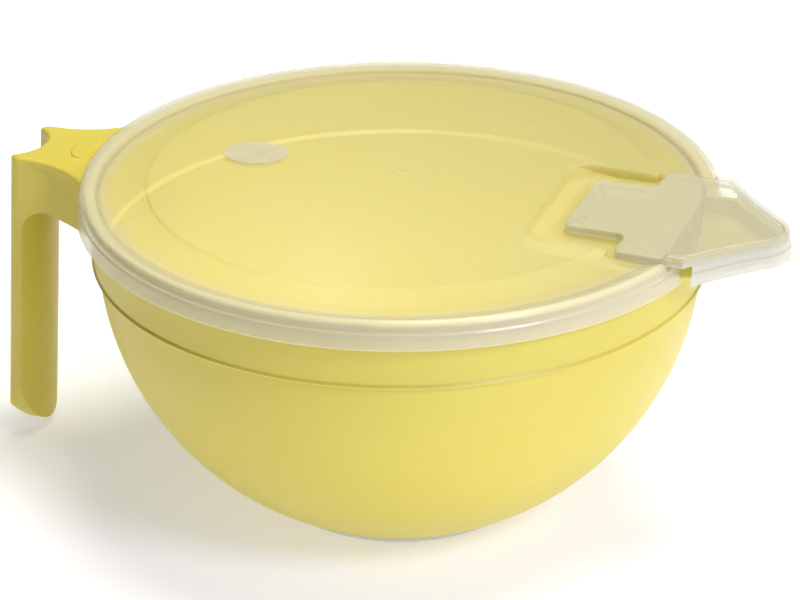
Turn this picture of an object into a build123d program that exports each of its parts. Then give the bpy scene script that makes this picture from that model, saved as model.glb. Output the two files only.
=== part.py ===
from build123d import *
import math
import os

# Lidded mixing bowl with a grip handle, a pouring beak, a press-on lid, a lift-off spout
# cap and a soft suction ring under its foot. Millimetres, +Z up. The origin is on the
# bowl's axis, on the plane that the bowl stands on. The beak points along +X and the
# handle along -X.

# ---- bowl ----
SPHERE_R = 105.9            # outside of the round lower wall
SPHERE_Z = 97.5             # height of its centre
WALL = 2.3
FLOOR_Z = 8.5               # inside floor
FLOOR_UNDER_Z = 6.0         # underside of the floor
FLOOR_FILLET = 14.0
FOOT_Z = 1.6                # lower edge of the foot wall, which stands in the suction ring
FOOT_IN_R = 42.4
LEDGE_Z = 91.9              # small step between the round wall and the straight band
LEDGE_STEP = 1.1
LEDGE_ROUND = 0.7
BAND_R = 107.9              # outside of the fine bead that edges the band at the ledge
LEDGE_BEAD = 0.6            # the bead stands out this far
LEDGE_BEAD_H = 0.9
BAND_TOP_R = 107.9
FLANGE_R = 110.7            # rim flange that the handle plate grows out of
FLANGE_Z = 113.8
FLANGE_T = 2.0
LIP_IN_R = 105.9
LIP_OUT_R = 109.2
LIP_TOP_Z = 116.9
LIP_ROUND = 1.2
LIP_OVERLAP = 0.5           # the beak and the arm start this far into the lip

# ---- handle ----
PLATE_Z = FLANGE_Z
PLATE_T = 2.5
ARM_WALL = 2.3
GRIP_HALF_W = 15.5
FLARE_R = 35.0              # hollow curves that widen the plate into the rim
END_U = 143.1               # furthest reach of the plate's two horns
HOLLOW_C = 149.8            # centre of the hollow in the outer end
HOLLOW_R = 14.5
BULGE_C = 154.2             # centre of the grip's rounded inner face
BULGE_R = 23.0
GRIP_LEAN = 3.2             # degrees outward, going down
GRIP_BOTTOM_Z = 3.2
GRIP_END_H = 22.0           # height of the rounded lower end
GRIP_EDGE_R = 1.4
GRIP_SPARE = 0.1            # the trimming shape is wider than the grip by this much
PLATE_EDGE_R = 1.4
ARM_BOTTOM_Z = 93.4         # top of the arch under the arm
ARM_UNDER = (-118.8, 89.9)  # the arm's lower edge curves down through here to its root
ARM_ROOT = (-98.0, 77.0)
ARCH_R = 10.0
ARCH_FILLET_R = 9.5
HORN_R = 5.0                # the side curves in by this radius towards each horn
HORN_TIP_R = 0.9
OVAL_U = 119.0              # plain raised oval on the plate
OVAL_SIZE = (4.2, 8.5)
OVAL_H = 0.5
OVAL_EDGE_R = 0.3

# ---- beak ----
BEAK_ROOT_U = 111.0
BEAK_ROOT_V = 35.2
BEAK_MID = (121.3, 23.0)
BEAK_NOSE = (133.5, 11.0)
BEAK_TIP_U = 139.5
BEAK_THROAT_V = 29.4        # the bowl's own beak is narrower than the cap at its root
BEAK_SIDE_Z = 111.0         # the beak's walls stand straight above this height
BEAK_BOTTOM_Z = 90.0
BEAK_SHRINK = 0.2
BEAK_PIVOT_U = 98.0
BEAK_ROUND = (137.9, 5.6)   # a point on the round nose
BEAK_GAP = 0.3              # clearance inside the cap
BEAK_FLOOR = 2.5            # depth of the channel's floor above the beak's underside
CHANNEL_U = 90.0            # beak and arm start this far out, inside the bowl

# ---- lid ----
LID_T = 1.3
LID_TOP_Z = 121.9           # crown of the panel
PANEL_R = 88.1              # small step ring in the panel
PANEL_Z = 119.6
PANEL_STEP = 0.5
VALLEY_R = 103.8
VALLEY_Z = 117.3
VALLEY_BEND = (96.5, 117.75)  # points on the curves to either side of the valley
CREST_BEND = (106.4, 117.65)
CREST_R = 109.2
CREST_Z = 118.6
EDGE_BEND = (110.9, 118.0)  # the rounding from the crest into the skirt
LID_UPPER_R = 111.5
LID_UPPER_Z = 116.4
LID_STEP_Z = 114.1
LID_STEP_H = 0.3            # half of the height of the sloping step in the skirt
LID_STEP_W = 0.5
LID_DRAFT = 0.1
SKIRT_R = 112.5
SKIRT_T = 1.2
SKIRT_BOTTOM_Z = 108.8
PLUG_R = 105.5              # the ring that fits inside the bowl's lip
PLUG_T = 1.1
PLUG_DRAFT = 0.2
PLUG_BOTTOM_Z = 112.6
LID_SIDE_GAP = 0.4          # clearance between the lid and the bowl's rim
LID_GAP = 0.3
HANDLE_GAP_DEG = 22.5       # half of the gap in the lid's skirt over the handle
NOTCH_U = 102.0             # straight edge of the lid at the beak
NOTCH_V = 35.6
NOTCH_LOW_V = 28.5          # the skirt reaches further under the cap's shoulders
NOTCH_STEP_Z = 115.6
GATE_R = 2.6                # moulding mark in the middle of the lid
GATE_DEEP = 0.4
GATE_H = 0.9
GATE_EDGE = 1.2

# ---- recess in the lid under the spout cap ----
RECESS_U = 54.5
RECESS_FOOT_U = 60.5
RECESS_V = 32.3
RECESS_Z = 116.2
RECESS_CORNER = 9.0
RAMP_START = (-3.0, 4.0)    # the soft ramp's points, from RECESS_U and PANEL_Z
RAMP_LIP_H = 1.0
RAMP_FOOT_H = 1.4
RAMP_FOOT_L = 9.0
SHOULDER_U = 84.0

# ---- spout cap ----
CAP_T = 1.3
CAP_TOP_Z = 121.5           # top of the bead, carried back to the tab
CAP_CROWN = (100.0, 121.4)  # the top curves gently down towards the nose
CAP_NOSE_Z = 119.4
CAP_BEYOND = 5.0            # the top's curve runs this far past both ends of the cap
TAB_U = 64.4
TAB_V = 20.6
STEP_U = 86.0
SKIRT_START_U = 113.2       # the cap has no skirt nearer to the lid than this
TAB_BOTTOM_Z = 117.3
CAP_SKIRT_Z = 110.0
CAP_EDGE_R = 1.0
CAP_STEP = 0.6              # the cap's skirt stands out this far below the lid's step line
BEAD_H = 1.1                # raised bead along the beak's edges
BEAD_W = 2.4
BEAD_U = 101.0              # where the bead starts to rise
BEAD_RISE = 5.0
BEAD_ROUND = 0.8
PAD_U = 69.0                # two small pads under the tab
PAD_V = 11.5
PAD_SIZE = (3.2, 5.0, 1.2)
CAP_CORNER_R = 3.0

# ---- suction ring ----
RING_OUT_R = 45.4
RING_IN_R = 34.5
RING_T = 1.5
TONGUE_IN_R = 37.5
TONGUE_TOP_Z = 5.4
TONGUE_GAP = 0.1
SEAL_HOLLOW = 1.1           # depth of the ring-shaped hollow under the ring
SEAL_IN_W = 3.0             # the flat faces that stand on the table, measured from the edges
SEAL_OUT_W = 2.4
RING_EDGE_Z = 0.6
RING_EDGE_W = 1.2
RING_BEVEL = 0.3

FAR = 400.0
NEAR = 0.1                  # tolerance when an edge is picked by its place


def turned(outline):
    """A solid of revolution about Z from a closed outline in the XZ plane."""
    return revolve(make_face(Plane.XZ * outline), Axis.Z, 360)


def sphere_r(z, radius):
    """Distance of the round wall from the axis at a height."""
    return math.sqrt(radius * radius - (z - SPHERE_Z) ** 2)


def on_arc(radius, r0, z0, r1, z1):
    """Arc of the round wall between two of its points."""
    a0 = math.atan2(z0 - SPHERE_Z, r0)
    a1 = math.atan2(z1 - SPHERE_Z, r1)
    mid = (a0 + a1) / 2
    middle = (radius * math.cos(mid), SPHERE_Z + radius * math.sin(mid))
    return ThreePointArc((r0, z0), middle, (r1, z1))


def prism(face, low, high):
    """A plan face made solid between two heights."""
    return extrude(Pos(0, 0, low) * face, high - low)


# ---------------------------------------------------------------- bowl
def bowl_shell():
    inner = SPHERE_R - WALL
    foot_r = sphere_r(FOOT_Z, SPHERE_R)
    ledge_r = sphere_r(LEDGE_Z, SPHERE_R)
    inner_ledge_r = sphere_r(LEDGE_Z, inner)
    floor_r = sphere_r(FLOOR_Z, inner)
    outline = Line((0, FLOOR_UNDER_Z), (FOOT_IN_R, FLOOR_UNDER_Z))
    outline += Line((FOOT_IN_R, FLOOR_UNDER_Z), (FOOT_IN_R, FOOT_Z))
    outline += Line((FOOT_IN_R, FOOT_Z), (foot_r, FOOT_Z))
    outline += on_arc(SPHERE_R, foot_r, FOOT_Z, ledge_r, LEDGE_Z)
    round_start = (BAND_R - LEDGE_ROUND, LEDGE_Z + LEDGE_STEP - LEDGE_ROUND)
    bulge = LEDGE_ROUND * math.sqrt(0.5)
    round_mid = (BAND_R - LEDGE_ROUND + bulge, LEDGE_Z + LEDGE_STEP - bulge)
    outline += Line((ledge_r, LEDGE_Z), round_start)
    outline += ThreePointArc(round_start, round_mid, (BAND_R, LEDGE_Z + LEDGE_STEP))
    outline += Polyline(
        (BAND_R, LEDGE_Z + LEDGE_STEP),
        (BAND_R - LEDGE_BEAD, LEDGE_Z + LEDGE_STEP + LEDGE_BEAD_H),
        (BAND_TOP_R, FLANGE_Z - FLANGE_T),
        (FLANGE_R, FLANGE_Z - FLANGE_T),
        (FLANGE_R, FLANGE_Z),
        (LIP_OUT_R, FLANGE_Z),
        (LIP_OUT_R, LIP_TOP_Z),
        (LIP_IN_R, LIP_TOP_Z),
        (BAND_R - LEDGE_BEAD - WALL, LEDGE_Z + LEDGE_STEP),
        (inner_ledge_r, LEDGE_Z),
    )
    outline += on_arc(inner, inner_ledge_r, LEDGE_Z, floor_r, FLOOR_Z)
    outline += Line((floor_r, FLOOR_Z), (0, FLOOR_Z))
    outline += Line((0, FLOOR_Z), (0, FLOOR_UNDER_Z))
    shell = turned(outline)
    lip_edges = shell.edges().filter_by(GeomType.CIRCLE).group_by(Axis.Z)[-1]
    shell = fillet(lip_edges, LIP_ROUND)
    floor_edge = shell.edges().filter_by(GeomType.CIRCLE).filter_by(
        lambda e: abs(e.center().Z - FLOOR_Z) < NEAR and abs(e.radius - floor_r) < NEAR
    )
    return fillet(floor_edge, FLOOR_FILLET)


def beak_side():
    """Half plan of the beak's side: a hollow flank, then the round nose."""
    root = (BEAK_ROOT_U, BEAK_ROOT_V)
    side = ThreePointArc(root, BEAK_MID, BEAK_NOSE)
    return side + ThreePointArc(BEAK_NOSE, BEAK_ROUND, (BEAK_TIP_U, 0))


def both_halves(half):
    """A face from its half outline, mirrored about the XZ plane."""
    face = make_face(half)
    return face + mirror(face, Plane.XZ)


def beak_face(inset):
    """Plan of the beak from CHANNEL_U to the tip, moved in by inset from the cap's outline."""
    half = Polyline((CHANNEL_U, 0), (CHANNEL_U, BEAK_ROOT_V), (BEAK_ROOT_U, BEAK_ROOT_V))
    half += beak_side()
    half += Line((BEAK_TIP_U, 0), (CHANNEL_U, 0))
    face = (both_halves(half) & Rectangle(FAR, 2 * BEAK_THROAT_V)).face()
    return offset(face, -inset, kind=Kind.INTERSECTION)


def beak_body(inset, rise):
    """The beak as a solid: straight at the top, drawn in to the wall below."""
    top = beak_face(inset).face()
    small = Pos(BEAK_PIVOT_U, 0, 0) * scale(Pos(-BEAK_PIVOT_U, 0, 0) * top, BEAK_SHRINK)
    straight = prism(top, BEAK_SIDE_Z, LIP_TOP_Z + rise)
    lower = loft(
        [Pos(0, 0, BEAK_BOTTOM_Z + rise) * small, Pos(0, 0, BEAK_SIDE_Z) * top],
        ruled=True,
    )
    return straight + lower


def plate_outline():
    """Half width of the handle plate: straight at the end, flared into the rim."""
    centre_v = GRIP_HALF_W + FLARE_R
    centre_u = math.sqrt((FLANGE_R + FLARE_R) ** 2 - centre_v ** 2)
    share = FLANGE_R / (FLANGE_R + FLARE_R)
    rim = (-centre_u * share, centre_v * share)
    side = (-centre_u, GRIP_HALF_W)
    middle_angle = (math.atan2(-1, 0) + math.atan2(rim[1] - centre_v, rim[0] + centre_u)) / 2
    middle = (
        -centre_u + FLARE_R * math.cos(middle_angle),
        centre_v + FLARE_R * math.sin(middle_angle),
    )
    return rim, middle, side


def plan_face(inset):
    """Plan of the handle from inside the rim to the two horns, moved in by inset."""
    rim, middle, side = plate_outline()
    start = CHANNEL_U
    half = Polyline((-start, 0), (-start, rim[1]), rim)
    half += ThreePointArc(rim, middle, side)
    straight_end = HORN_R - END_U
    tip_v = GRIP_HALF_W - HORN_R
    diagonal = HORN_R * math.sqrt(0.5)
    bend = (straight_end - diagonal, tip_v + diagonal)
    half += Line(side, (straight_end, GRIP_HALF_W))
    half += ThreePointArc((straight_end, GRIP_HALF_W), bend, (-END_U, tip_v))
    half += Polyline((-END_U, tip_v), (-END_U, 0), (-start, 0))
    return offset(both_halves(half), -inset, kind=Kind.INTERSECTION)


def lean_shift(drop):
    """How far the grip has moved outward at a depth below the plate."""
    return math.tan(math.radians(GRIP_LEAN)) * drop


def leaned(face, low):
    """A prism under the plate that leans outward, away from the bowl, going down."""
    high = PLATE_Z - PLATE_T
    drop = high - low
    slope = (-lean_shift(drop), 0, -drop)
    return extrude(Pos(0, 0, high) * face, Vector(slope).length, dir=slope)


def arm_cut():
    """The space under the arm, with a round arch where it meets the grip."""
    edge = BULGE_C - math.sqrt(BULGE_R ** 2 - GRIP_HALF_W ** 2)
    top_u = -edge - lean_shift(PLATE_Z - ARM_BOTTOM_Z)
    low_u = -edge - lean_shift(PLATE_Z)
    under = Polyline(
        (low_u, 0),
        (top_u, ARM_BOTTOM_Z),
        (top_u + ARCH_R, ARM_BOTTOM_Z),
    )
    under += ThreePointArc((top_u + ARCH_R, ARM_BOTTOM_Z), ARM_UNDER, ARM_ROOT)
    under += Polyline(ARM_ROOT, (ARM_ROOT[0], 0), (low_u, 0))
    face = make_face(under)
    corner = face.vertices().sort_by(Axis.Y)[-2:].sort_by(Axis.X)[0]
    return extrude(Plane.XZ * fillet(corner, ARCH_FILLET_R), FAR, both=True)


def handle():
    outside = plan_face(0) - Pos(-HOLLOW_C, 0) * Circle(HOLLOW_R)
    outside = fillet(outside.vertices().sort_by(Axis.X)[0:2], HORN_TIP_R)
    inside = plan_face(ARM_WALL) - Pos(-HOLLOW_C, 0) * Circle(HOLLOW_R + ARM_WALL)
    plate = prism(outside, PLATE_Z - PLATE_T, PLATE_Z)
    top_edges = plate.faces().sort_by(Axis.Z)[-1].edges()
    plate = fillet(top_edges.filter_by(lambda e: e.center().X < 1 - LIP_IN_R), PLATE_EDGE_R)
    band = outside & Rectangle(FAR, 2 * GRIP_HALF_W)
    hollow = inside & Rectangle(FAR, 2 * (GRIP_HALF_W - ARM_WALL))
    walls = leaned(band - hollow, ARM_ROOT[1]) - arm_cut()

    strip = (outside & Pos(-BULGE_C, 0) * Circle(BULGE_R)).face()
    inner = strip.vertices().sort_by(Axis.X)[-2:]
    grip = leaned(fillet(inner, GRIP_EDGE_R), 0)
    middle = GRIP_BOTTOM_Z + GRIP_END_H
    front = Pos(0, middle + FAR / 2) * Rectangle(2 * (GRIP_HALF_W + GRIP_SPARE), FAR)
    front += Pos(0, middle) * Ellipse(GRIP_HALF_W + GRIP_SPARE, GRIP_END_H)
    grip = grip & extrude(Plane.YZ * front, FAR, both=True)
    return plate + walls + grip


def wall_core():
    """The inside of the bowl up to the middle of its wall, for trimming what joins it."""
    middle = SPHERE_R - WALL / 2
    low_r = sphere_r(SPHERE_Z / 2, middle)
    ledge_r = sphere_r(LEDGE_Z, middle)
    lip_r = LIP_IN_R + LIP_OVERLAP
    line = Line((0, SPHERE_Z / 2), (low_r, SPHERE_Z / 2))
    line += on_arc(middle, low_r, SPHERE_Z / 2, ledge_r, LEDGE_Z)
    line += Polyline(
        (ledge_r, LEDGE_Z),
        (BAND_R - LEDGE_BEAD - WALL / 2, LEDGE_Z + LEDGE_STEP),
        (lip_r, FLANGE_Z - FLANGE_T),
        (lip_r, FAR),
        (0, FAR),
        (0, SPHERE_Z / 2),
    )
    return turned(line)


def raised_oval():
    oval = prism(Pos(-OVAL_U, 0) * Ellipse(*OVAL_SIZE), PLATE_Z - 1, PLATE_Z + OVAL_H)
    return fillet(oval.faces().sort_by(Axis.Z)[-1].edges(), OVAL_EDGE_R)


def bowl():
    core = wall_core()
    body = bowl_shell() + (handle() - core) + raised_oval()
    inset = CAP_STEP + CAP_T + BEAK_GAP
    body = body + (beak_body(inset, 0) - core)
    return body - beak_body(inset + WALL, BEAK_FLOOR)


# ---------------------------------------------------------------- lid
def panel_z(r):
    """Height of the lid's domed panel at a distance from the axis."""
    rise = LID_TOP_Z - PANEL_Z
    dome = (PANEL_R ** 2 + rise ** 2) / (2 * rise)
    return LID_TOP_Z - dome + math.sqrt(dome ** 2 - r ** 2)


def lid_top_outline():
    """The lid's upper surface, from the axis to the skirt's lower edge."""
    half = PANEL_R / 2
    line = ThreePointArc((0, LID_TOP_Z), (half, panel_z(half)), (PANEL_R, PANEL_Z))
    line += Line((PANEL_R, PANEL_Z), (PANEL_R + PANEL_STEP, PANEL_Z - PANEL_STEP))
    line += ThreePointArc(
        (PANEL_R + PANEL_STEP, PANEL_Z - PANEL_STEP),
        VALLEY_BEND,
        (VALLEY_R, VALLEY_Z),
    )
    line += ThreePointArc((VALLEY_R, VALLEY_Z), CREST_BEND, (CREST_R, CREST_Z))
    line += ThreePointArc((CREST_R, CREST_Z), EDGE_BEND, (LID_UPPER_R, LID_UPPER_Z))
    line += Polyline(
        (LID_UPPER_R, LID_UPPER_Z),
        (LID_UPPER_R + LID_DRAFT, LID_STEP_Z + LID_STEP_H),
        (SKIRT_R - LID_STEP_W, LID_STEP_Z - LID_STEP_H),
        (SKIRT_R, SKIRT_BOTTOM_Z),
    )
    return line


def lid_shell():
    under_r = LIP_OUT_R + LID_SIDE_GAP
    under_z = LIP_TOP_Z + LID_GAP
    line = lid_top_outline()
    line += Polyline(
        (SKIRT_R, SKIRT_BOTTOM_Z),
        (SKIRT_R - SKIRT_T, SKIRT_BOTTOM_Z),
        (FLANGE_R + LID_SIDE_GAP, LID_STEP_Z),
        (under_r, LID_STEP_Z),
        (under_r, under_z),
        (PLUG_R, under_z),
        (PLUG_R, PLUG_BOTTOM_Z),
        (PLUG_R - PLUG_T, PLUG_BOTTOM_Z),
        (PLUG_R - PLUG_T - PLUG_DRAFT, VALLEY_Z - LID_T),
        (VALLEY_R - PLUG_T, VALLEY_Z - LID_T),
    )
    line += ThreePointArc(
        (VALLEY_R - PLUG_T, VALLEY_Z - LID_T),
        (VALLEY_BEND[0], VALLEY_BEND[1] - LID_T),
        (PANEL_R, PANEL_Z - PANEL_STEP - LID_T),
    )
    edge = PANEL_R - PANEL_STEP
    half = PANEL_R / 2
    line += Line((PANEL_R, PANEL_Z - PANEL_STEP - LID_T), (edge, panel_z(edge) - LID_T))
    line += ThreePointArc(
        (edge, panel_z(edge) - LID_T), (half, panel_z(half) - LID_T), (0, LID_TOP_Z - LID_T)
    )
    line += Line((0, LID_TOP_Z - LID_T), (0, LID_TOP_Z))
    return turned(line)


def recess_face(grow):
    """Plan of the recess under the cap: pocket, then the wider place for the shoulders."""
    pocket = Pos((RECESS_U + NOTCH_U) / 2, 0) * Rectangle(NOTCH_U - RECESS_U, 2 * RECESS_V)
    inner = pocket.vertices().group_by(Axis.X)[0]
    pocket = fillet(inner, RECESS_CORNER)
    wide = Pos((SHOULDER_U + NOTCH_U) / 2, 0) * Rectangle(NOTCH_U - SHOULDER_U, 2 * NOTCH_V)
    face = pocket + wide
    return offset(face, grow, kind=Kind.INTERSECTION) if grow else face


def under_lid():
    """Everything below the lid's upper surface, for trimming what is added to it."""
    line = lid_top_outline()
    line += Polyline((SKIRT_R, SKIRT_BOTTOM_Z), (SKIRT_R, 0), (0, 0), (0, LID_TOP_Z))
    return turned(line)


def recess_space():
    """The empty space of the recess: a soft ramp, then a flat floor."""
    top = FAR / 2
    side = Polyline(
        (RECESS_U + RAMP_START[0], PANEL_Z + RAMP_START[1]),
        (RECESS_U, PANEL_Z + RAMP_LIP_H),
        (RECESS_FOOT_U, RECESS_Z + RAMP_FOOT_H),
        (RECESS_FOOT_U + RAMP_FOOT_L, RECESS_Z),
        (SKIRT_R, RECESS_Z),
        (SKIRT_R, top),
        (RECESS_U + RAMP_START[0], top),
        close=True,
    )
    band = extrude(Plane.XZ * make_face(side), FAR, both=True)
    return prism(recess_face(0), RECESS_Z - LID_T, top) & band


def lid():
    body = lid_shell()
    tray = prism(recess_face(LID_T), RECESS_Z - LID_T, LID_TOP_Z) & under_lid()
    inside_lip = Pos(0, 0, LIP_TOP_Z) * Cylinder(PLUG_R, FAR)
    over_lip = Box(FAR, FAR, FAR, align=(Align.CENTER, Align.CENTER, Align.MIN))
    tray = tray & (inside_lip + Pos(0, 0, LIP_TOP_Z + LID_GAP) * over_lip)
    body = body + tray - recess_space()

    reach = 2 * SKIRT_R
    spread = math.tan(math.radians(HANDLE_GAP_DEG)) * reach
    wedge = make_face(Polyline((0, 0), (-reach, spread), (-reach, -spread), close=True))
    gap = prism(wedge, 0, FLANGE_Z + LID_GAP) - Cylinder(LIP_OUT_R, FAR)
    notch = Pos(NOTCH_U + reach / 2, 0, 0) * Box(reach, 2 * NOTCH_LOW_V, FAR)
    notch += Pos(NOTCH_U + reach / 2, 0, NOTCH_STEP_Z) * Box(
        reach, 2 * NOTCH_V, FAR, align=(Align.CENTER, Align.CENTER, Align.MIN)
    )
    low = LID_TOP_Z - GATE_DEEP
    mark = prism(Circle(GATE_R) - Circle(GATE_R - GATE_EDGE), low, low + GATE_H)
    return body - gap - notch + mark


# ---------------------------------------------------------------- spout cap
def cap_face(inset):
    """Plan of the cap: grip tab, shoulders and beak, moved in by inset."""
    half = Polyline(
        (TAB_U, 0),
        (TAB_U, TAB_V),
        (STEP_U, TAB_V),
        (STEP_U, BEAK_ROOT_V),
        (BEAK_ROOT_U, BEAK_ROOT_V),
    )
    half += beak_side()
    half += Line((BEAK_TIP_U, 0), (TAB_U, 0))
    face = both_halves(half)
    corners = ShapeList(v for v in face.vertices() if v.X < STEP_U + 1 and abs(v.Y) > 1)
    return offset(fillet(corners, CAP_CORNER_R), -inset, kind=Kind.INTERSECTION)


def below_cap_top(drop):
    """A large block under the cap's gently curved upper surface, lowered by drop."""
    low_u = TAB_U - CAP_BEYOND
    high_u = BEAK_TIP_U + CAP_BEYOND
    start = (low_u, CAP_TOP_Z)
    end = (high_u, CAP_NOSE_Z)
    line = ThreePointArc(start, CAP_CROWN, end)
    line += Polyline(end, (high_u, 0), (low_u, 0), start)
    return Pos(0, 0, -drop) * extrude(Plane.XZ * make_face(line), FAR, both=True)


def cap_bead():
    """Raised bead along the beak's two edges, which rises where the lid's crest ends."""
    ring = cap_face(CAP_STEP) - cap_face(CAP_STEP + BEAD_W)
    bead = prism(ring, LID_STEP_Z, CAP_TOP_Z + CAP_BEYOND) & below_cap_top(0)
    top_edges = bead.faces().sort_by(Axis.Z)[-1].edges()
    bead = fillet(top_edges, BEAD_ROUND)
    low = CAP_TOP_Z - BEAD_H - 2
    ramp = Polyline(
        (BEAD_U, 0),
        (BEAD_U, low),
        (BEAD_U + BEAD_RISE, CAP_TOP_Z),
        (FAR, CAP_TOP_Z),
        (FAR, 0),
        close=True,
    )
    return bead & extrude(Plane.XZ * make_face(ramp), FAR, both=True)


def spout_cap():
    high = CAP_TOP_Z + CAP_BEYOND
    outer = prism(cap_face(CAP_STEP), LID_STEP_Z, high) & below_cap_top(BEAD_H)
    top_edges = outer.faces().sort_by(Axis.Z)[-1].edges()
    outer = fillet(top_edges, CAP_EDGE_R)
    skirt = prism(cap_face(0), CAP_SKIRT_Z, LID_STEP_Z)
    inner = prism(cap_face(CAP_STEP + CAP_T), 0, high) & below_cap_top(BEAD_H + CAP_T)
    shell = outer + cap_bead() + skirt - inner
    lift = Box(SKIRT_START_U, FAR, TAB_BOTTOM_Z, align=(Align.MIN, Align.CENTER, Align.MIN))
    pad = Pos(PAD_U, PAD_V, CAP_TOP_Z - BEAD_H - CAP_T) * Box(*PAD_SIZE)
    return shell - lift + pad + mirror(pad, Plane.XZ)


# ---------------------------------------------------------------- suction ring
def suction_ring():
    """Soft ring: a flat collar with a sealing hollow, and a tongue inside the foot wall."""
    mid = (RING_OUT_R + RING_IN_R) / 2
    line = Polyline(
        (RING_IN_R, RING_EDGE_Z),
        (RING_IN_R + RING_EDGE_W, 0),
        (RING_IN_R + SEAL_IN_W, 0),
        (mid, SEAL_HOLLOW),
        (RING_OUT_R - SEAL_OUT_W, 0),
        (RING_OUT_R, 0),
        (RING_OUT_R, RING_T - RING_BEVEL),
        (RING_OUT_R - RING_BEVEL, RING_T),
        (FOOT_IN_R - TONGUE_GAP, RING_T),
        (FOOT_IN_R - TONGUE_GAP, TONGUE_TOP_Z),
        (TONGUE_IN_R, TONGUE_TOP_Z),
        (TONGUE_IN_R, RING_T),
        (RING_IN_R, RING_T),
        (RING_IN_R, RING_EDGE_Z),
    )
    return turned(line)


PARTS = {
    "bowl": bowl,
    "lid": lid,
    "spout_cap": spout_cap,
    "suction_ring": suction_ring,
}

os.makedirs("parts", exist_ok=True)
for name, make in PARTS.items():
    solid = make()
    solid.label = name
    export_step(solid, "parts/" + name + ".step")
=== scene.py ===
import math

import bmesh
import bpy
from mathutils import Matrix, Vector


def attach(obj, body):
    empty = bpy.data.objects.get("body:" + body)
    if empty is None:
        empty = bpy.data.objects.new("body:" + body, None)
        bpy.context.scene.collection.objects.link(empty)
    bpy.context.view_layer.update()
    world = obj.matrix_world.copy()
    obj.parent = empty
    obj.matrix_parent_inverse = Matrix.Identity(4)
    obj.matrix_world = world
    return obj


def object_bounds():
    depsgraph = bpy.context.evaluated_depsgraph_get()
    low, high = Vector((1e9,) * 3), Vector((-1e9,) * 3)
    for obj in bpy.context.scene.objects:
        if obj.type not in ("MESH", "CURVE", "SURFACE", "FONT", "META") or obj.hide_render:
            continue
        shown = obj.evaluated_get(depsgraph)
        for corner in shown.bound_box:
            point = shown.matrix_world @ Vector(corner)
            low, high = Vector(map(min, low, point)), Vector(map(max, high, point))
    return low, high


# A pastel yellow mixing bowl with a translucent lid, spout cap and foot ring. Metres, +Z up.

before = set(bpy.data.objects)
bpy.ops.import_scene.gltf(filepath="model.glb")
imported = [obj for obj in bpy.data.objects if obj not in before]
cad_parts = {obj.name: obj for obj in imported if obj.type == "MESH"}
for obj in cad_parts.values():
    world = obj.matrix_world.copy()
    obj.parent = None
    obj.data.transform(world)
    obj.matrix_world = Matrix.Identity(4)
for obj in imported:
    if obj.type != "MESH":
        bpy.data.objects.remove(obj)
cad_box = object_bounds()

# ---- camera ----
VIEW_AZIMUTH = math.radians(19)      # 0 looks along +Y
VIEW_PITCH = math.radians(26)        # downwards
VIEW_DISTANCE = 1.2722
VIEW_TARGET = Vector((0, 0, 0.0724))
LENS = 162
SENSOR_WIDTH = 36

# ---- light: name, direction from the bowl, distance, size, power, colour ----
LIGHTS = (
    ("key", Vector((0.675, -0.382, 0.636)), 1.6, 0.5, 10.5, (1, 1, 1.35)),
    ("side", Vector((0.85, -0.55, 0.12)), 1.5, 0.9, 4.5, (0.78, 0.84, 1.6)),
    ("top", Vector((0.15, 0.1, 1)), 1.7, 1.0, 30, (1, 0.97, 0.84)),
)
LIGHT_TARGET = Vector((0, 0, 0.07))
WORLD_STRENGTH = 0.10
WHITE = (1, 1, 1, 1)

# ---- colours, linear; a second tone lies over the first in faint clouds ----
YELLOW = (0.70, 0.600, 0.100, 1)
YELLOW_DEEP = (0.68, 0.575, 0.080, 1)
MILKY = (0.72, 0.69, 0.50, 1)
MILKY_DEEP = (0.69, 0.66, 0.47, 1)
BOWL_BOUNCE_LIGHT = (0.97, 0.86, 0.38, 1)       # the lid's panel, in light thrown up from the bowl
BOWL_BOUNCE_LIGHT_DEEP = (0.95, 0.84, 0.35, 1)
CLEARER = (0.78, 0.77, 0.58, 1)
SILICONE = (0.98, 0.95, 0.80, 1)
FROST = (0.72, 0.68, 0.52, 1)
FILM_SHADE = 0.94                    # a film's second tone, as a share of its colour
FROST_SHADE = 0.93
TONE_STEPS = (0.35, 0.65)            # where the first tone ends and the second begins

# ---- noise: scales of the clouds of colour, the patches of gloss and the fine grain ----
CLOUD_DETAIL = 3
PATCH_DETAIL = 2
GRAIN_DETAIL = 1
NOISE_RANGE = (0.3, 0.7)             # the part of the noise's range that is used
BOWL_CLOUDS = 9
BOWL_PATCHES = 60
BOWL_GRAIN = 1800
FILM_CLOUDS = 14
FILM_PATCHES = 80
FILM_GRAIN = 700
WARM_CLOUDS = 11
FROST_CLOUDS = 400
FROST_PATCHES = 900
GRAIN_DEPTH = 0.00002
BOWL_GRAIN_STRENGTH = 0.25
FILM_GRAIN_STRENGTH = 0.3

# ---- roughness, from the glossiest patch to the dullest ----
BOWL_ROUGHNESS = (0.38, 0.46)
FROST_ROUGHNESS = (0.5, 0.65)
LID_ROUGHNESS = 0.22
CAP_ROUGHNESS = 0.16
RING_ROUGHNESS = 0.35
FILM_ROUGHNESS_SPREAD = 0.05

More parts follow.
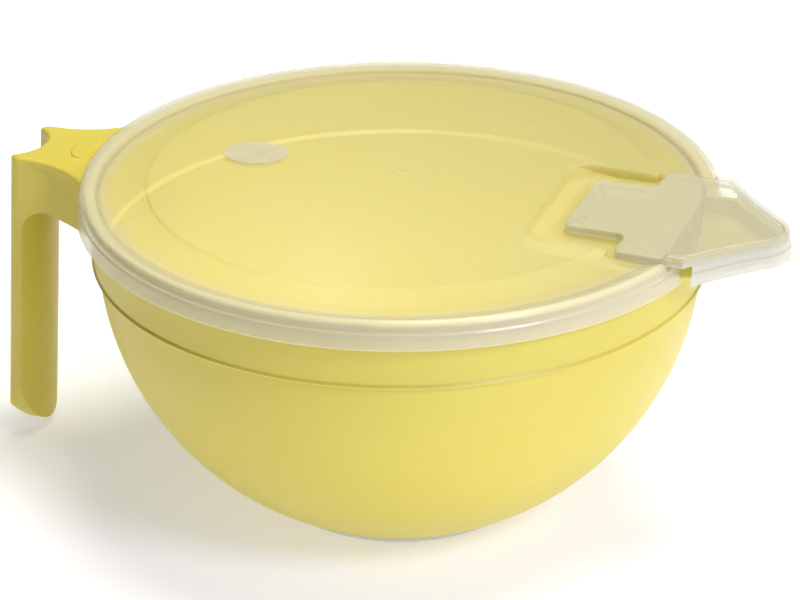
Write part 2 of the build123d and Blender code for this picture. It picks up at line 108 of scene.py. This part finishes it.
# ---- plain inputs of the shaders ----
BOWL_LOOK = {
    "Subsurface Weight": 0.2,
    "Subsurface Radius": (1.0, 0.75, 0.08),
    "Subsurface Scale": 0.0015,
    "Specular IOR Level": 0.5,
    "IOR": 1.49,
}
FILM_LOOK = {"IOR": 1.45, "Coat Weight": 0.4, "Coat Roughness": 0.12}
LID_LOOK = {
    "Transmission Weight": 0.10,
    "Subsurface Weight": 1.0,
    "Subsurface Radius": (1, 1, 0.8),
    "Subsurface Scale": 0.004,
}
CAP_LOOK = {"Transmission Weight": 0.20}
RING_LOOK = {"Transmission Weight": 0.15, "Alpha": 0.45}
FROST_LOOK = {"Alpha": 0.5}
FLOOR_LOOK = {
    "Base Color": (0.76, 0.76, 0.76, 1),
    "Roughness": 0.9,
    "Specular IOR Level": 0.1,
    "Emission Color": WHITE,
    "Emission Strength": 0.42,       # keeps the shadow pale
}

# ---- where a film changes, and its alpha on either side ----
LID_TINT_EDGE = (0.097, 0.107)       # distance from the axis: panel with painted bounce light to milky rim
LID_MILK_EDGE = (0.099, 0.108)
LID_ALPHA = (0.37, 0.52)
UNDERSIDE = (-0.6, -0.2)             # upward part of the normal: underside to the rest
UNDERSIDE_SHARE = (0.2, 1)           # of the alpha
CAP_WALL_EDGE = (0.1155, 0.1190)     # height: upright walls to the top
CAP_ALPHA = (0.80, 0.42)

# ---- plain frosted oval on the lid ----
OVAL_CENTRE = (-0.054, 0.001)
OVAL_SIZE = (0.0115, 0.0095)
OVAL_LIFT = 0.00006
OVAL_RINGS = 6
OVAL_SIDES = 96
DOME_TOP = 0.1219                    # the lid's panel: its crown, and its fall at a distance
DOME_EDGE = 0.0881
DOME_FALL = 0.0023

# ---- floor ----
FLOOR_SIZE = 4
FLOOR_DROP = 0.0002


# ---------------------------------------------------------------- node helpers
def new_material(name, look):
    """A material with its nodes and its shader, whose plain inputs are set."""
    material = bpy.data.materials.new(name)
    material.use_nodes = True
    tree = material.node_tree
    shader = tree.nodes["Principled BSDF"]
    for socket, value in look.items():
        shader.inputs[socket].default_value = value
    return material, tree, shader


def mapped(tree, value, where, what, interpolation="LINEAR"):
    """A value moved from the range where to the range what, and held at its ends."""
    node = tree.nodes.new("ShaderNodeMapRange")
    node.interpolation_type = interpolation
    limits = zip(("From Min", "From Max", "To Min", "To Max"), (*where, *what))
    for socket, limit in limits:
        node.inputs[socket].default_value = limit
    tree.links.new(value, node.inputs["Value"])
    return node.outputs["Result"]


def stepped(tree, value, where, what):
    return mapped(tree, value, where, what, "SMOOTHSTEP")


def coordinate(tree, kind):
    return tree.nodes.new("ShaderNodeTexCoord").outputs[kind]


def upward_part(tree, vector):
    node = tree.nodes.new("ShaderNodeSeparateXYZ")
    tree.links.new(vector, node.inputs["Vector"])
    return node.outputs["Z"]


def from_axis(tree):
    """Distance from the bowl's axis of the point being shaded."""
    flat = tree.nodes.new("ShaderNodeVectorMath")
    flat.operation = "MULTIPLY"
    flat.inputs[1].default_value = (1, 1, 0)
    length = tree.nodes.new("ShaderNodeVectorMath")
    length.operation = "LENGTH"
    tree.links.new(coordinate(tree, "Object"), flat.inputs[0])
    tree.links.new(flat.outputs["Vector"], length.inputs[0])
    return length.outputs["Value"]


def product(tree, first, second):
    node = tree.nodes.new("ShaderNodeMath")
    node.operation = "MULTIPLY"
    tree.links.new(first, node.inputs[0])
    tree.links.new(second, node.inputs[1])
    return node.outputs["Value"]


def mixed(tree, share, first, second):
    node = tree.nodes.new("ShaderNodeMix")
    node.data_type = "RGBA"
    tree.links.new(share, node.inputs["Factor"])
    tree.links.new(first, node.inputs["A"])
    tree.links.new(second, node.inputs["B"])
    return node.outputs["Result"]


def noise(tree, scale, detail):
    texture = tree.nodes.new("ShaderNodeTexNoise")
    texture.inputs["Scale"].default_value = scale
    texture.inputs["Detail"].default_value = detail
    tree.links.new(coordinate(tree, "Object"), texture.inputs["Vector"])
    return texture.outputs["Fac"]


def shaded(colour, share):
    return tuple(channel * share for channel in colour[:3]) + (1,)


def clouds(tree, scale, first, second):
    """One colour with faint clouds of another."""
    node = tree.nodes.new("ShaderNodeValToRGB")
    for element, position, colour in zip(node.color_ramp.elements, TONE_STEPS, (first, second)):
        element.position = position
        element.color = colour
    tree.links.new(noise(tree, scale, CLOUD_DETAIL), node.inputs["Fac"])
    return node.outputs["Color"]


def patches(tree, shader, scale, roughness):
    value = mapped(tree, noise(tree, scale, PATCH_DETAIL), NOISE_RANGE, roughness)
    tree.links.new(value, shader.inputs["Roughness"])


def grain(tree, shader, scale, strength):
    node = tree.nodes.new("ShaderNodeBump")
    node.inputs["Distance"].default_value = GRAIN_DEPTH
    node.inputs["Strength"].default_value = strength
    tree.links.new(noise(tree, scale, GRAIN_DETAIL), node.inputs["Height"])
    tree.links.new(node.outputs["Normal"], shader.inputs["Normal"])


# ---------------------------------------------------------------- materials
def bowl_plastic():
    material, tree, shader = new_material("bowl_plastic", BOWL_LOOK)
    tree.links.new(clouds(tree, BOWL_CLOUDS, YELLOW, YELLOW_DEEP), shader.inputs["Base Color"])
    patches(tree, shader, BOWL_PATCHES, BOWL_ROUGHNESS)
    grain(tree, shader, BOWL_GRAIN, BOWL_GRAIN_STRENGTH)
    return material


def film(name, look, colour, roughness):
    """Thin translucent plastic: part milky, part seen through. A colour of None is set later."""
    material, tree, shader = new_material(name, {**FILM_LOOK, **look})
    patches(tree, shader, FILM_PATCHES, (roughness, roughness + FILM_ROUGHNESS_SPREAD))
    grain(tree, shader, FILM_GRAIN, FILM_GRAIN_STRENGTH)
    if colour:
        tone = clouds(tree, FILM_CLOUDS, colour, shaded(colour, FILM_SHADE))
        tree.links.new(tone, shader.inputs["Base Color"])
    return material, tree, shader


def lid_plastic():
    """Clear in the thin panel, whose warm yellow is painted light thrown up from the bowl; milky
    towards the thick rim and the skirt.
    """
    material, tree, shader = film("lid_plastic", LID_LOOK, None, LID_ROUGHNESS)
    rim = stepped(tree, from_axis(tree), LID_TINT_EDGE, (0, 1))
    milky = clouds(tree, FILM_CLOUDS, MILKY, MILKY_DEEP)
    # painted light: the panel's warm yellow stands in for light thrown up from the bowl
    bounce_light = clouds(tree, WARM_CLOUDS, BOWL_BOUNCE_LIGHT, BOWL_BOUNCE_LIGHT_DEEP)
    tree.links.new(mixed(tree, rim, bounce_light, milky), shader.inputs["Base Color"])
    milk = stepped(tree, from_axis(tree), LID_MILK_EDGE, LID_ALPHA)
    facing = upward_part(tree, coordinate(tree, "Normal"))
    share = stepped(tree, facing, UNDERSIDE, UNDERSIDE_SHARE)
    tree.links.new(product(tree, milk, share), shader.inputs["Alpha"])
    return material


def cap_plastic():
    """Clear on top, milky in the upright walls."""
    material, tree, shader = film("cap_plastic", CAP_LOOK, CLEARER, CAP_ROUGHNESS)
    height = upward_part(tree, coordinate(tree, "Object"))
    tree.links.new(stepped(tree, height, CAP_WALL_EDGE, CAP_ALPHA), shader.inputs["Alpha"])
    return material


def ring_silicone():
    return film("ring_silicone", RING_LOOK, SILICONE, RING_ROUGHNESS)[0]


def frost():
    material, tree, shader = new_material("frost", FROST_LOOK)
    tone = clouds(tree, FROST_CLOUDS, FROST, shaded(FROST, FROST_SHADE))
    tree.links.new(tone, shader.inputs["Base Color"])
    patches(tree, shader, FROST_PATCHES, FROST_ROUGHNESS)
    return material


MATERIALS = {
    "bowl": bowl_plastic(),
    "lid": lid_plastic(),
    "spout_cap": cap_plastic(),
    "suction_ring": ring_silicone(),
}

for node, material in MATERIALS.items():
    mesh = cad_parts[node].data
    mesh.materials.clear()
    mesh.materials.append(material)
    for polygon in mesh.polygons:
        polygon.material_index = 0


# ---------------------------------------------------------------- objects
def add(name, data):
    thing = bpy.data.objects.new(name, data)
    bpy.context.scene.collection.objects.link(thing)
    return thing


def dome_height(x, y):
    """Height of the lid's domed panel above a point of its plan."""
    radius = (DOME_EDGE ** 2 + DOME_FALL ** 2) / (2 * DOME_FALL)
    return DOME_TOP - radius + math.sqrt(radius ** 2 - x ** 2 - y ** 2)


def oval_layer(build, lift):
    """Rows of vertices over the dome. The first row is the centre, repeated for every side."""
    centre = (*OVAL_CENTRE, dome_height(*OVAL_CENTRE) + lift)
    rows = [[build.verts.new(centre)] * OVAL_SIDES]
    for ring in range(1, OVAL_RINGS + 1):
        row = []
        for side in range(OVAL_SIDES):
            angle = math.tau * side / OVAL_SIDES
            x = OVAL_CENTRE[0] + OVAL_SIZE[0] * ring / OVAL_RINGS * math.cos(angle)
            y = OVAL_CENTRE[1] + OVAL_SIZE[1] * ring / OVAL_RINGS * math.sin(angle)
            row.append(build.verts.new((x, y, dome_height(x, y) + lift)))
        rows.append(row)
    return rows


def frosted_oval():
    """A thin closed disc that follows the lid's dome."""
    mesh = bpy.data.meshes.new("frosted_oval")
    build = bmesh.new()
    layers = [oval_layer(build, lift) for lift in (OVAL_LIFT, 2 * OVAL_LIFT)]
    for rows, up in zip(layers, (False, True)):
        for inner, outer in zip(rows, rows[1:]):
            for side in range(OVAL_SIDES):
                after = (side + 1) % OVAL_SIDES
                corners = [inner[side], outer[side], outer[after], inner[after]]
                corners = list(dict.fromkeys(corners))
                build.faces.new(corners if up else reversed(corners))
    low, high = layers[0][-1], layers[1][-1]
    for side in range(OVAL_SIDES):
        after = (side + 1) % OVAL_SIDES
        build.faces.new((low[side], low[after], high[after], high[side]))
    build.to_mesh(mesh)
    build.free()
    mesh.materials.append(frost())
    thing = add("frosted_oval", mesh)
    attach(thing, "lid")


def floor():
    mesh = bpy.data.meshes.new("floor")
    build = bmesh.new()
    bmesh.ops.create_grid(build, x_segments=1, y_segments=1, size=FLOOR_SIZE)
    build.to_mesh(mesh)
    build.free()
    mesh.materials.append(new_material("floor", FLOOR_LOOK)[0])
    thing = add("floor", mesh)
    thing.location.z = cad_box[0][2] - FLOOR_DROP


def lights():
    for name, direction, distance, size, power, colour in LIGHTS:
        light = bpy.data.lights.new(name, "AREA")
        light.color = colour
        light.shape = "DISK"
        light.size = size
        light.energy = power
        thing = add(name, light)
        thing.location = LIGHT_TARGET + direction.normalized() * distance
        thing.rotation_euler = direction.to_track_quat("Z", "Y").to_euler()
    world = bpy.data.worlds.new("studio")
    world.use_nodes = True
    background = world.node_tree.nodes["Background"]
    background.inputs["Color"].default_value = WHITE
    background.inputs["Strength"].default_value = WORLD_STRENGTH
    bpy.context.scene.world = world
    bpy.context.scene.view_settings.view_transform = "Standard"


def camera():
    forward = Vector(
        (
            -math.sin(VIEW_AZIMUTH) * math.cos(VIEW_PITCH),
            math.cos(VIEW_AZIMUTH) * math.cos(VIEW_PITCH),
            -math.sin(VIEW_PITCH),
        )
    )
    lens = bpy.data.cameras.new("camera")
    lens.lens = LENS
    lens.sensor_width = SENSOR_WIDTH
    thing = add("camera", lens)
    thing.location = VIEW_TARGET - forward * VIEW_DISTANCE
    thing.rotation_euler = forward.to_track_quat("-Z", "Y").to_euler()
    bpy.context.scene.camera = thing


frosted_oval()
floor()
lights()
camera()
